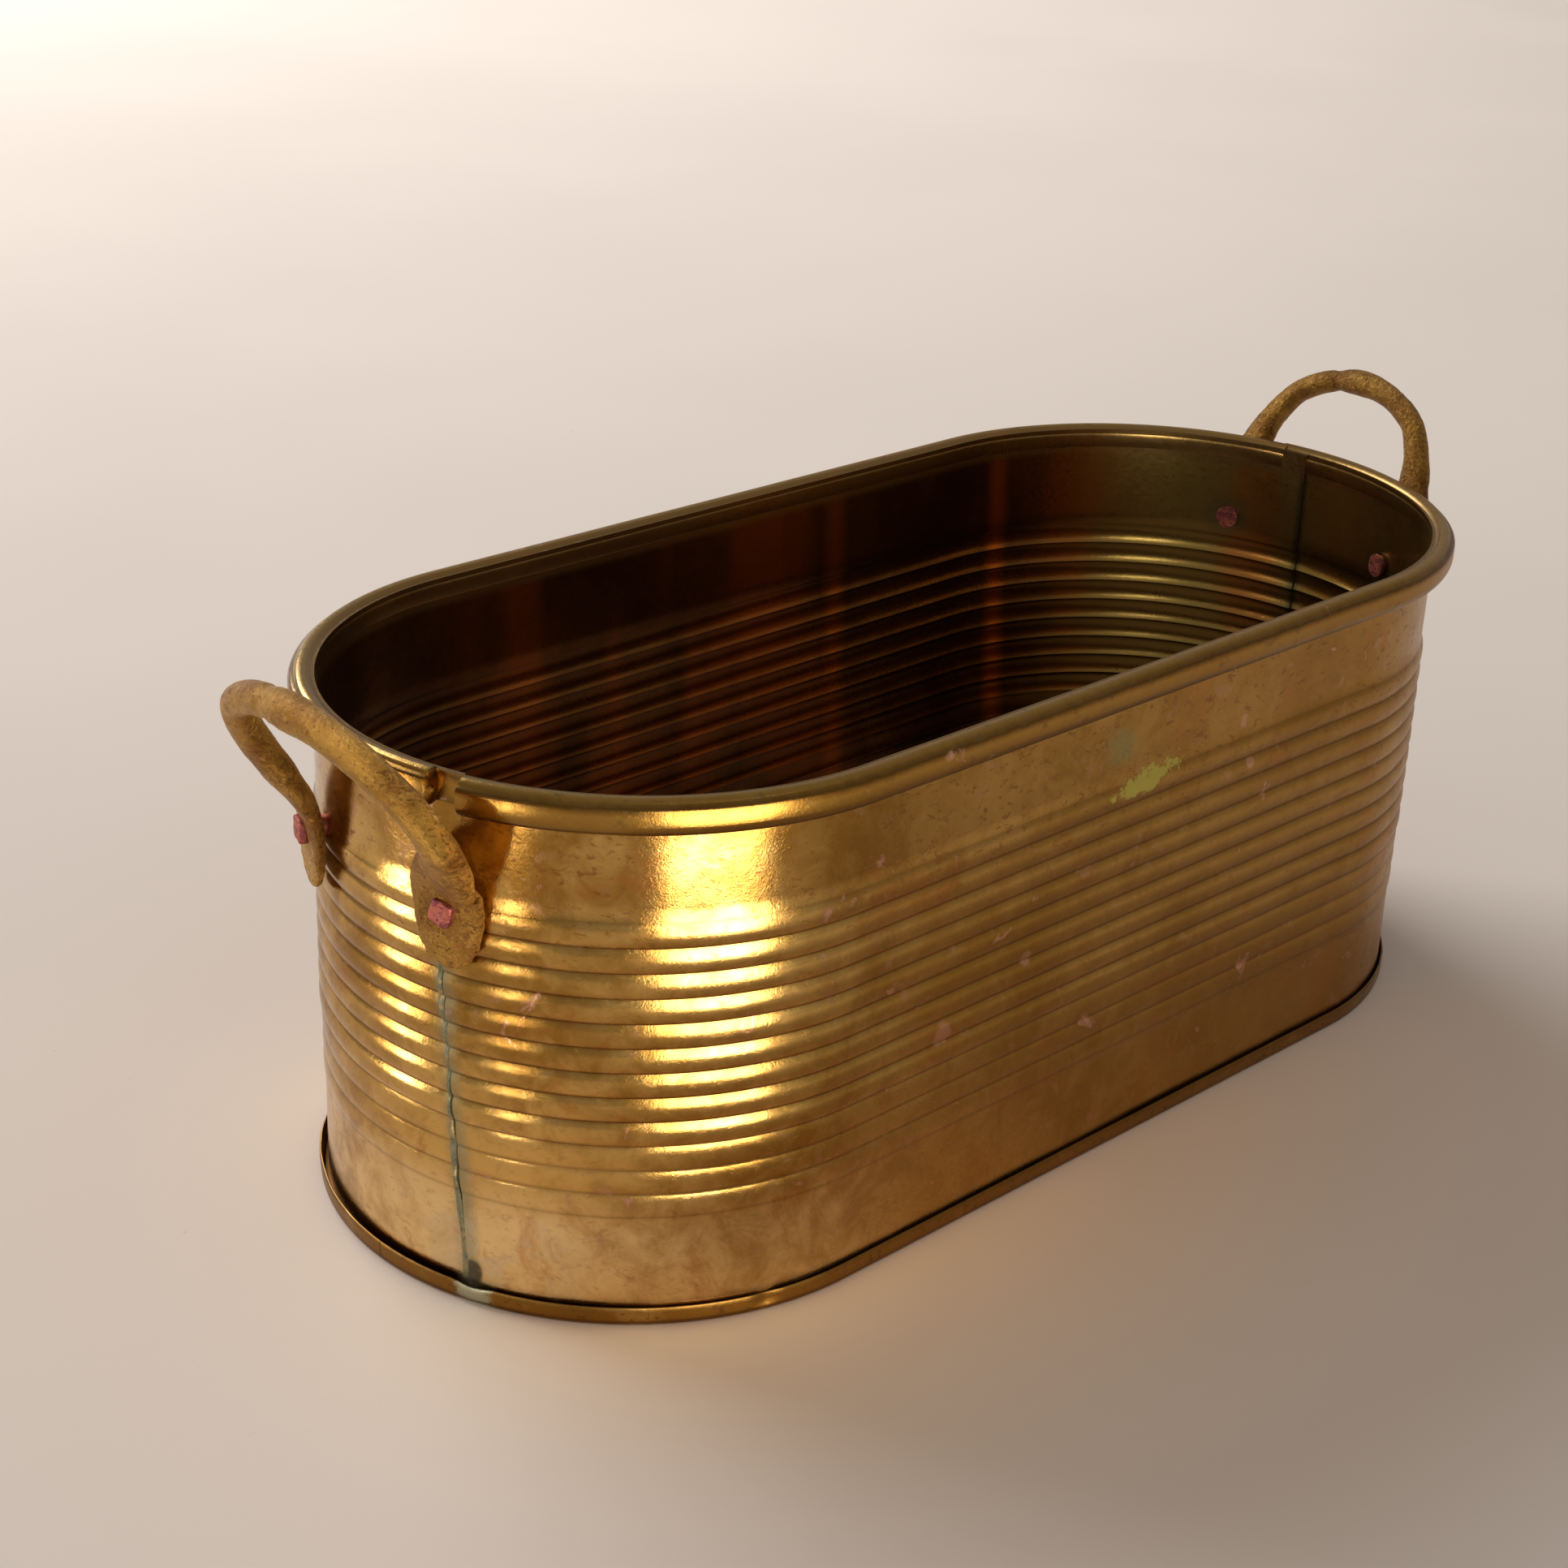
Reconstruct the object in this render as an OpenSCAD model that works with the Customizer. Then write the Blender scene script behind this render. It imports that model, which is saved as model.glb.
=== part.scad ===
// Oblong sheet-brass planter pot with a rolled rim, twelve ribs, a lipped base pan
// and a cast handle riveted to each round end.
// +X runs along the pot, +Z is up, and the origin is the centre of the underside.

/* [Wall] */
// Length of the wall, outside the plain sheet
wall_l = 271.2; // [240:0.2:300]
// Width of the wall, outside the plain sheet
wall_w = 120.8; // [110:0.2:135]
// Height of the pot, without its handles
body_h = 105; // [100:0.5:115]
// Thickness of the wall sheet
sheet_t = 0.6; // [0.5:0.05:0.9]

/* [Rim] */
// Width of the rolled edge, across the wall
bead_w = 4.8; // [4:0.1:5.2]
// Height of the rolled edge
bead_h = 6.8; // [5.6:0.1:7.6]

/* [Ribs] */
// Number of ribs
rib_count = 12; // [6:1:13]
// Distance from one rib to the next
rib_pitch = 4.87; // [4:0.01:5]
// How far a rib stands out of the wall
rib_h = 0.55; // [0.3:0.05:0.6]
// How far the shallow ribs at the foot of the wall stand out
low_rib_h = 0.3; // [0.2:0.05:0.3]
// Number of shallow ribs
low_rib_count = 3; // [0:1:5]
// Height of the ribs' upper edge above the floor
rib_top = 80.7; // [78:0.1:84]

/* [Base] */
// Thickness of the base pan
pan_t = 0.7; // [0.5:0.05:1]
// Height of the pan's upturned lip
lip_h = 3.6; // [2.5:0.1:5]
// Gap between the lip and the wall
lip_gap = 0.3; // [0.1:0.05:0.6]

/* [Lap seams] */
// Width of the lap of the two wall sheets
lap_w = 7; // [5:0.5:9]
// Angle of the near seam from the pot's long axis
near_seam = -15.8; // [-15.8:0.1:-14]
// Angle of the far seam from the pot's long axis
far_seam = 9.6; // [8:0.1:12]
// Part of the near rim where the rolled edge is cut away
rim_break = 4.6; // [3:0.1:6]
// Width of the run of solder down a seam
solder_w = 4.6; // [3:0.1:6]

/* [Near handle] */
// Height of the near handle's rivets
near_rivet_z = 79.9; // [78:0.1:82]
// Angle of its front rivet from the pot's long axis
near_front_a = -18.5; // [-20:0.5:-17]
// Angle of its back rivet
near_back_a = 20.5; // [19:0.5:22]
// Diameter of its rod
near_rod_d = 6; // [5:0.1:6.4]
// Half the width of its loop
near_loop_w = 28; // [24:0.5:30]
// Height of its loop above the rivets
near_loop_h = 40.8; // [38:0.2:42]
// Lean of its loop, outwards
near_lean = 29; // [26:0.5:32]
// Tilt of its loop towards the front
near_tilt = 7.5; // [0:0.5:9]

/* [Far handle] */
// Height of the far handle's rivets
far_rivet_z = 85.4; // [84:0.1:87]
// Angle of its front rivet from the pot's long axis
far_front_a = -23; // [-25:0.5:-21]
// Angle of its back rivet
far_back_a = 21; // [19.5:0.5:23]
// Diameter of its rod
far_rod_d = 5.2; // [4.8:0.1:5.4]
// Half the width of its loop
far_loop_w = 23; // [21:0.5:25]
// Height of its loop above the rivets
far_loop_h = 38.2; // [37:0.2:40]
// Lean of its loop, outwards
far_lean = 23.5; // [22:0.5:27]
// Tilt of its loop towards the front
far_tilt = 1.5; // [0:0.5:4]

/* [Feet and rivets] */
// Width of a handle's foot
foot_w = 14; // [12:0.5:15]
// Length of a foot below its rivet
foot_drop = 10.5; // [9:0.5:12]
// Thickness of a foot
foot_t = 2.6; // [2.2:0.1:3]
// Diameter of a rivet's shank
rivet_d = 4.4; // [4:0.1:4.4]
// Side of a rivet's squared outer stub
stub_w = 4.8; // [4.5:0.1:5]
// How far the stub stands out of the foot
stub_h = 2.2; // [1.5:0.1:3]

/* [Hidden] */

$fn = 96;
eps = 0.01;
wall_r = wall_w / 2;
core = (wall_l - wall_w) / 2;          // centres of the round ends lie at +-core
lap_a = lap_w / wall_r * 180 / PI;
solder_a = solder_w / wall_r * 180 / PI;
rib_foot = rib_top - rib_count * rib_pitch;
fillet = 1.5;                          // legs of the solder fillet round the base
sheet_top = body_h - bead_h + bead_w / 2 - 0.6;  // the sheet runs up into its rolled edge
rib_steps = 4;                         // flats that make up one rib
near_rivets = [near_front_a, near_back_a];
far_rivets = [far_front_a, far_back_a];
foot_gap = rib_h + 0.05;               // the feet stand on the ribs' crests
foot_mid = wall_r + foot_gap + foot_t / 2;
head_d = 5.2;                          // hammered end of a rivet, inside the pot
head_t = 0.7;
shoulder_k = tan(22.5);                // shoulders of a loop turn through 45 degrees
leg_root = 7.4;                        // where a leg leaves its foot, above the rivet
arch_foot = 0.49;                      // where a loop's legs end and its arch starts
swell = 0.8;                           // extra thickness of a loop at its crown
swell_a = 6;                           // half the angle that the thicker part takes up
ball = 1.04;                           // balls at a loop's joints, against its rod
foot_a = 21;                           // angle at which both loops' centres meet the feet

// ---------- profiles, drawn with X as the distance from the end's centre ----------

// How far rib i, counted from the foot of the wall, stands out
function rib_rise(i) = i < low_rib_count ? low_rib_h : rib_h;

// How far the wall stands out at height z: each rib is a shallow arch
function rise_at(z) =
    z <= rib_foot || z >= rib_top ? 0 :
    let (i = floor((z - rib_foot) / rib_pitch), u = 2 * ((z - rib_foot) / rib_pitch - i) - 1)
    rib_rise(i) * (1 - u * u);

// Heights at which the profile bends, between a and b
function bends(a, b) = [
    a,
    for (k = [0:rib_count * rib_steps])
        let (z = rib_foot + k * rib_pitch / rib_steps)
        if (z > a + eps && z < b - eps) z,
    b
];

// Plain and ribbed sheet from height a to b, between offsets lo and hi of the front wall's outer face
module sheet_profile(a, b, lo, hi) {
    zs = bends(a, b);
    n = len(zs) - 1;
    polygon([
        for (z = zs) [wall_r + hi + rise_at(z), z],
        for (k = [0:n]) [wall_r + lo + rise_at(zs[n - k]), zs[n - k]]
    ]);
}

// Slot-shaped outline of the rolled edge, grown by g, on a sheet whose outer face is at off
module bead_outline(g, off) {
    r = bead_w / 2;
    cx = wall_r + off - sheet_t + r;
    for (z = [body_h - r, body_h - bead_h + r]) translate([cx, z]) circle(r + g);
    translate([cx - r - g, body_h - bead_h + r]) square([bead_w + 2 * g, bead_h - bead_w]);
}

// Rolled edge on a sheet whose outer face is at off
module bead_profile(off) {
    difference() {
        bead_outline(0, off);
        bead_outline(-sheet_t, off);
    }
}

// Sheet below its rolled edge
module wall_profile(off) {
    sheet_profile(pan_t, sheet_top, off - sheet_t, off);
}

module pan_profile() {
    square([wall_r + lip_gap + pan_t, pan_t]);
    translate([wall_r + lip_gap, 0]) square([pan_t, lip_h]);
}

// ---------- sweeps round the oblong plan ----------

// Sweeps its children round one end, from angle a to b, both from the end's own outward axis
module round_end(end, a, b) {
    translate([end * core, 0, 0])
        mirror([end < 0 ? 1 : 0, 0, 0])
            rotate([0, 0, a]) rotate_extrude(angle = b - a) children();
}

// Runs its children along one long side
module long_side(side) {
    mirror([0, side < 0 ? 1 : 0, 0])
        translate([-core, 0, 0]) rotate([90, 0, 90]) linear_extrude(2 * core) children();
}

// The whole oblong, with the profile reaching in to the middle
module oblong() {
    for (end = [-1, 1]) round_end(end, -90, 90) children();
    for (side = [-1, 1]) long_side(side) children();
}

// Turns its children to lie on the outer face of an end, at angle a and height z, X outwards
module on_end(end, a, z) {
    translate([end * core, 0, 0])
        mirror([end < 0 ? 1 : 0, 0, 0])
            rotate([0, 0, a]) translate([wall_r, 0, z]) children();
}

module bore(end, a, z) {
    on_end(end, a, z) translate([-5, 0, 0]) rotate([0, 90, 0]) cylinder(h = 15, d = rivet_d);
}

module rivet_bores() {
    for (a = near_rivets) bore(-1, a, near_rivet_z);
    for (a = far_rivets) bore(1, a, far_rivet_z);
}

// ---------- wall, base and solder ----------

module wall_front() {
    color([0.72, 0.53, 0.26])
        difference() {
            union() {
                half_run(near_seam, far_seam) wall_profile(0);
                half_run(near_seam - rim_break, far_seam) bead_profile(0);
            }
            rivet_bores();
        }
}

// The back sheet laps inside the front one, so it stands one sheet's thickness further in
module wall_back() {
    color([0.66, 0.48, 0.24])
        difference() {
            mirror([0, 1, 0]) {
                half_run(lap_a - near_seam, lap_a - far_seam) wall_profile(-sheet_t);
                half_run(-near_seam, -far_seam) bead_profile(-sheet_t);
            }
            rivet_bores();
        }
}

// Runs its children along the front side and round both ends, up to angles near and far
module half_run(near, far) {
    round_end(-1, -90, near) children();
    long_side(-1) children();
    round_end(1, -90, far) children();
}

module base_pan() {
    color([0.68, 0.5, 0.27]) oblong() pan_profile();
}

// Fillet round the inside of the base: it reaches out by reach to the front sheet, past the lap
module base_solder() {
    color([0.5, 0.5, 0.46]) {
        oblong() fillet_profile(0);
        long_side(-1) fillet_profile(sheet_t);
        for (end = [-1, 1])
            round_end(end, -90, (end < 0 ? near_seam : far_seam) - lap_a) fillet_profile(sheet_t);
    }
}

module fillet_profile(reach) {
    translate([wall_r - 2 * sheet_t, pan_t])
        polygon([[-fillet, 0], [reach, 0], [reach, fillet], [0, fillet]]);
}

// Run of solder that fills the step from the front sheet's edge down to the back sheet
module solder_run(end, seam, top) {
    round_end(end, seam, seam + solder_a) sheet_profile(lip_h + 0.4, top, -sheet_t, 0);
}

module solder_seam_near() {
    color([0.5, 0.52, 0.42])
        solder_run(-1, near_seam, near_rivet_z - foot_drop - 1);
}

module solder_seam_far() {
    color([0.5, 0.52, 0.42]) solder_run(1, far_seam, body_h - bead_h - 1);
}

// ---------- handles ----------

// Round rod from p to q, with a ball at p
module rod(p, q, d) {
    v = q - p;
    translate(p) {
        sphere(d = d * ball);
        rotate([0, acos(v[2] / norm(v)), atan2(v[1], v[0])]) cylinder(h = norm(v), d = d);
    }
}

// Part of a ring of radius r that stands in the YZ plane round [cy, cz], from angle a to b
module ring_part(cy, cz, r, a, b, d) {
    translate([0, cy, cz]) rotate([90, 0, 90]) rotate([0, 0, a])
        rotate_extrude(angle = b - a) translate([r, 0]) circle(d = d);
}

// Arch of a loop in the YZ plane: two shoulders and a flatter crown
module arch(w, h, foot, d) {
    shoulder = (h - foot - w * shoulder_k) / (1 - shoulder_k);
    c = w - shoulder;
    crown = shoulder + c * sqrt(2);
    ring_part(c, foot, shoulder, 0, 45, d);
    ring_part(-c, foot, shoulder, 135, 180, d);
    for (side = [-1, 1])
        translate([0, side * (c + shoulder * cos(45)), foot + shoulder * sin(45)])
            sphere(d = d * ball);
    ring_part(0, foot - c, crown, 45, 135, d);
    ring_part(0, foot - c, crown, 90 - swell_a, 90 + swell_a, d + swell);
}

// Flattened foot, standing upright against the wall
module foot(end, a, z) {
    r = foot_w / 2;
    on_end(end, a, z) translate([foot_gap, 0, 0]) rotate([90, 0, 90])
        linear_extrude(foot_t) {
            circle(r);
            translate([0, r - foot_drop]) circle(r * 0.82);
            polygon([[-r, 0], [r, 0], [r * 0.45, 9], [-r * 0.45, 9]]);
        }
}

// Point on the middle of a foot at angle a, moved outwards by out, at the height of its rivet
function foot_at(a, out) = [core + (foot_mid + out) * cos(a), (foot_mid + out) * sin(a), 0];

// Point of a loop that leans out by lean and tilts by tilt, from its place y, z in its own plane
function loop_at(y, z, lean, tilt) =
    let (t = y * sin(tilt) + z * cos(tilt), s = y * cos(tilt) - z * sin(tilt))
    [core + foot_mid * cos(foot_a) + t * sin(lean), s, t * cos(lean)];

module handle(end, rivets, z, w, h, d, lean, tilt) {
    legs = h * arch_foot;
    difference() {
        union() {
            for (a = rivets) foot(end, a, z);
            mirror([end < 0 ? 1 : 0, 0, 0]) translate([0, 0, z]) {
                for (side = [0, 1]) {
                    top = loop_at(side == 0 ? -w : w, legs, lean, tilt);
                    root = foot_at(rivets[side], (d - foot_t) / 2 + 0.1) + [0, 0, leg_root];
                    rod(root, top, d);
                    translate(top) sphere(d = d * ball);
                }
                translate([core + foot_mid * cos(foot_a), 0, 0]) rotate([0, lean, 0]) rotate([tilt, 0, 0])
                    arch(w, h, legs, d);
            }
        }
        for (a = rivets) bore(end, a, z);
    }
}

module handle_near() {
    color([0.7, 0.52, 0.27])
        handle(-1, near_rivets, near_rivet_z, near_loop_w, near_loop_h, near_rod_d, near_lean,
               near_tilt);
}

module handle_far() {
    color([0.62, 0.46, 0.25])
        handle(1, far_rivets, far_rivet_z, far_loop_w, far_loop_h, far_rod_d, far_lean, far_tilt);
}

// ---------- rivets ----------

module rivet(end, a, z) {
    color([0.66, 0.36, 0.31])
        on_end(end, a, z) rotate([0, 90, 0]) {
            inner = -sheet_t * 2 - 0.1;
            outer = foot_gap + foot_t;
            translate([0, 0, inner]) cylinder(h = outer - inner, d = rivet_d);
            translate([0, 0, inner - head_t]) cylinder(h = head_t, d = head_d);
            translate([0, 0, outer])
                intersection() {
                    translate([-stub_w / 2, -stub_w / 2, 0]) cube([stub_w, stub_w, stub_h]);
                    cylinder(h = stub_h, d = stub_w * 1.25);
                }
        }
}

module rivet_near_front() {
    rivet(-1, near_rivets[0], near_rivet_z);
}

module rivet_near_back() {
    rivet(-1, near_rivets[1], near_rivet_z);
}

module rivet_far_front() {
    rivet(1, far_rivets[0], far_rivet_z);
}

module rivet_far_back() {
    rivet(1, far_rivets[1], far_rivet_z);
}

wall_front();
wall_back();
base_pan();
base_solder();
solder_seam_near();
solder_seam_far();
handle_near();
handle_far();
rivet_near_front();
rivet_near_back();
rivet_far_front();
rivet_far_back();
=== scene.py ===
import math

import bmesh
import bpy
from mathutils import Matrix, Vector, noise


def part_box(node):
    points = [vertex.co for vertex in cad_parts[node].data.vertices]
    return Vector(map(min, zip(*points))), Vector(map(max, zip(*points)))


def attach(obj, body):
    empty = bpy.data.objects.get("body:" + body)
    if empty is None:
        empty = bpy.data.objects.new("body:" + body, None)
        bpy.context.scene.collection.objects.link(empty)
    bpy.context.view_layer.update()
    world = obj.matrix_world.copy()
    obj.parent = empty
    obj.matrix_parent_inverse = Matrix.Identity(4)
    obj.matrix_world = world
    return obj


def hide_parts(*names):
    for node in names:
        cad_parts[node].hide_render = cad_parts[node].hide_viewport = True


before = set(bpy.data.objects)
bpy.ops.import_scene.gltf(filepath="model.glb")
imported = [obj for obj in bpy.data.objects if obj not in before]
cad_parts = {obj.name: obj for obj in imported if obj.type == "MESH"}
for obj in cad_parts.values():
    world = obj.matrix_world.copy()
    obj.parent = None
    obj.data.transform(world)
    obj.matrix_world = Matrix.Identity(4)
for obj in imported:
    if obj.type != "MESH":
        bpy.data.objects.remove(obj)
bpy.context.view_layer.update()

bl_info = {
    "name": "Brass planter pot",
    "version": (1, 0, 0),
    "blender": (4, 5, 0),
    "location": "3D View > Sidebar > Brass Pot",
    "description": "Builds the looks of an oblong ribbed brass planter pot round its fixed frame",
    "category": "Object",
}

BODY = "root"
MM = 0.001

# ---------- sizes that the frame gives ----------
PAN_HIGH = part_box("base_pan")[1]
RIM_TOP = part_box("wall_front")[1].z
SHEET = 0.6 * MM
PAN_T = 0.7 * MM
LIP_STAND = 1.0 * MM                       # outer face of the lip, from the wall
ROUND = PAN_HIGH.y - LIP_STAND             # outer radius of the round ends
STRAIGHT = PAN_HIGH.x - PAN_HIGH.y         # half the distance between their centres
LAP = 7 * MM
BEAD_HALF = 2.4 * MM                       # half the width of the rolled edge
BEAD_MIDDLE = RIM_TOP - 3.4 * MM
LOW_RIBS = 3                               # shallow ribs at the foot of the wall

# angles of the seams and the rolled edge's ends, from each end's own outward axis
NEAR_SEAM, FAR_SEAM, RIM_BREAK = math.radians(-15.8), math.radians(9.6), math.radians(4.6)
QUARTER = math.pi / 2
SEAM_LEAN = 0.069                          # the near seam wanders to the front as it goes down
LEAN_TOP = 70 * MM

RIVETS = ("rivet_near_front", "rivet_near_back", "rivet_far_front", "rivet_far_back")


def middle(node):
    low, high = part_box(node)
    return (low + high) / 2


def outward(place):
    """Level direction out of the pot at a place on its wall."""
    end = math.copysign(min(abs(place.x), STRAIGHT), place.x)
    way = Vector((place.x - end, place.y, 0))
    return way.normalized()


# ---------- what a user would change ----------


def length(name, description, default):
    return bpy.props.FloatProperty(
        name=name, description=description, default=default * MM, unit="LENGTH")


def tint(name, description, default):
    return bpy.props.FloatVectorProperty(
        name=name, description=description, default=default, subtype="COLOR")


class PotSizes(bpy.types.PropertyGroup):
    rib_count: bpy.props.IntProperty(name="Ribs", description="Number of ribs", default=12, min=1)
    rib_pitch: length("Rib pitch", "From one rib to the next", 4.87)
    rib_top: length("Top of the ribs", "Height of the top rib's upper edge", 80.7)
    rib_rise: length("Rib rise", "How far a rib stands out", 0.62)
    low_rise: length("Low rib rise", "How far the three lowest ribs stand out", 0.3)
    dents: length("Dents", "Depth of the sheet's slow unevenness", 0.3)
    lip_sway: length("Lip sway", "How far the base lip wanders", 0.55)
    pitting: length("Pitting", "Depth of the castings' rough skin", 0.16)


class PotColours(bpy.types.PropertyGroup):
    bright: tint("Bright brass", "Brass where it is rubbed clean", (0.64, 0.39, 0.115))
    brown: tint("Brown brass", "Brass under a brown skin", (0.30, 0.145, 0.022))
    inner: tint("Inside", "Dark skin inside the pot", (0.16, 0.068, 0.016))
    casting: tint("Castings", "Brass of the handles", (0.34, 0.18, 0.036))
    copper: tint("Copper", "Copper of the rivets", (0.36, 0.105, 0.072))
    verdigris: tint("Verdigris", "Grey-green tarnish on the solder", (0.21, 0.21, 0.11))
    floor: tint("Floor", "Pale floor", (0.80, 0.72, 0.66))


# ---------- node trees written as expressions ----------


class Value:
    """A socket of a node tree, used like a number."""

    def __init__(self, bench, socket):
        self.bench, self.socket = bench, socket

    def out(self, name):
        """Another output of the same node."""
        return Value(self.bench, self.socket.node.outputs[name])

    def __add__(self, other):
        return self.bench.sums("ADD", self, other)

    __radd__ = __add__

    def __sub__(self, other):
        return self.bench.sums("SUBTRACT", self, other)

    def __rsub__(self, other):
        return self.bench.sums("SUBTRACT", other, self)

    def __mul__(self, other):
        return self.bench.sums("MULTIPLY", self, other)

    __rmul__ = __mul__

    def __truediv__(self, other):
        return self.bench.sums("DIVIDE", self, other)

    def __rtruediv__(self, other):
        return self.bench.sums("DIVIDE", other, self)

    def __pow__(self, other):
        return self.bench.sums("POWER", self, other)


class Bench:
    """Makes and links the nodes of one tree."""

    def __init__(self, tree):
        self.tree = tree

    def make(self, kind, settings=None, sockets=None, out=0):
        node = self.tree.nodes.new(kind)
        for key, value in (settings or {}).items():
            if key == "stops":
                ramp = node.color_ramp.elements
                while len(ramp) < len(value):
                    ramp.new(1)
                for element, (place, colour) in zip(ramp, value):
                    element.position, element.color = place, (*colour, 1)
            else:
                setattr(node, key, value)
        for key, value in (sockets or {}).items():
            if isinstance(key, int):
                socket = node.inputs[key]
            else:
                socket = next(s for s in node.inputs if s.name == key and s.enabled)
            if isinstance(value, Value):
                self.tree.links.new(value.socket, socket)
            else:
                socket.default_value = value
        if isinstance(out, int):
            return Value(self, node.outputs[out])
        return Value(self, next(s for s in node.outputs if s.name == out and s.enabled))

    def sums(self, operation, *numbers):
        return self.make("ShaderNodeMath", {"operation": operation}, dict(enumerate(numbers)))

    def span(self, value, low, high, to_low=0.0, to_high=1.0, way="SMOOTHSTEP"):
        """Value from low..high to to_low..to_high, held at its ends."""
        return self.make(
            "ShaderNodeMapRange", {"interpolation_type": way},
            {0: value, 1: low, 2: high, 3: to_low, 4: to_high})

    def near(self, value, centre, reach):
        """1 where value is at centre, 0 from reach away."""
        return self.span(self.sums("ABSOLUTE", value - centre), 0.0, reach, 1.0, 0.0)

    def parts(self, vector):
        x = self.make("ShaderNodeSeparateXYZ", None, {0: vector})
        return x, x.out("Y"), x.out("Z")

    def vector(self, x, y, z):
        return self.make("ShaderNodeCombineXYZ", None, {0: x, 1: y, 2: z})

    def vectors(self, operation, *inputs, out=0):
        return self.make(
            "ShaderNodeVectorMath", {"operation": operation}, dict(enumerate(inputs)), out)

    def scaled(self, vector, x, y, z):
        return self.vectors("MULTIPLY", vector, (x, y, z))

    def grain(self, vector, scale, detail=3.0, rough=0.55, seed=0.0, warp=0.0, out=0):
        """Noise from about 0.25 to 0.75."""
        return self.make(
            "ShaderNodeTexNoise", {"noise_dimensions": "4D"},
            {"Vector": vector, "W": seed, "Scale": scale, "Detail": detail, "Roughness": rough,
             "Distortion": warp}, out)

    def blend(self, share, first, second, way="MIX"):
        """Colours mixed by share."""
        pair = [c if isinstance(c, Value) else (*c, 1) for c in (first, second)]
        return self.make(
            "ShaderNodeMix", {"data_type": "RGBA", "blend_type": way, "clamp_factor": True},
            {0: share, 6: pair[0], 7: pair[1]}, 2)


# ---------- finishes ----------


def finish(name, paint):
    """A material whose colour, gloss and relief come from paint(bench, place in mm)."""
    material = bpy.data.materials.new(name)
    material.use_nodes = True
    material.node_tree.nodes.clear()
    bench = Bench(material.node_tree)
    place = bench.make("ShaderNodeTexCoord", None, None, "Object")
    place = bench.scaled(place, 1000, 1000, 1000)
    looks = paint(bench, place)
    bump = bench.make(
        "ShaderNodeBump", None,
        {"Strength": looks["relief"], "Distance": looks.get("depth", 0.0002),
         "Height": looks["height"]})
    surface = bench.make(
        "ShaderNodeBsdfPrincipled", None,
        {"Base Color": looks["colour"], "Metallic": looks.get("metal", 1.0),
         "Roughness": looks["rough"], "Normal": bump})
    surface.socket.node.inputs["Specular IOR Level"].default_value = looks.get("gloss", 0.5)
    end = bench.tree.nodes.new("ShaderNodeOutputMaterial")
    bench.tree.links.new(surface.socket, end.inputs["Surface"])
    return material


def speckle(bench, place, size, share, seed):
    """Small irregular spots of about size mm on share of the surface."""
    field = bench.grain(place, 1 / size, 5.0, 0.6, seed, 0.6)
    edge = 0.70 - 0.35 * share
    return bench.span(field, edge, edge + 0.10)


def rib_valley_shade(bench, z, sizes):
    """1 in the valleys between ribs, 0 on their crests and on plain sheet; it marks where shade is
    painted into the valleys.
    """
    foot = (sizes.rib_top - sizes.rib_count * sizes.rib_pitch) / MM
    along = bench.sums("FRACT", (z - foot) / (sizes.rib_pitch / MM))
    valley = bench.sums("ABSOLUTE", along * 2 - 1) ** 7
    inside = bench.span(z, foot - 2, foot + 1) * bench.span(z, sizes.rib_top / MM - 1,
                                                            sizes.rib_top / MM + 1.5, 1.0, 0.0)
    return valley * inside


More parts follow.
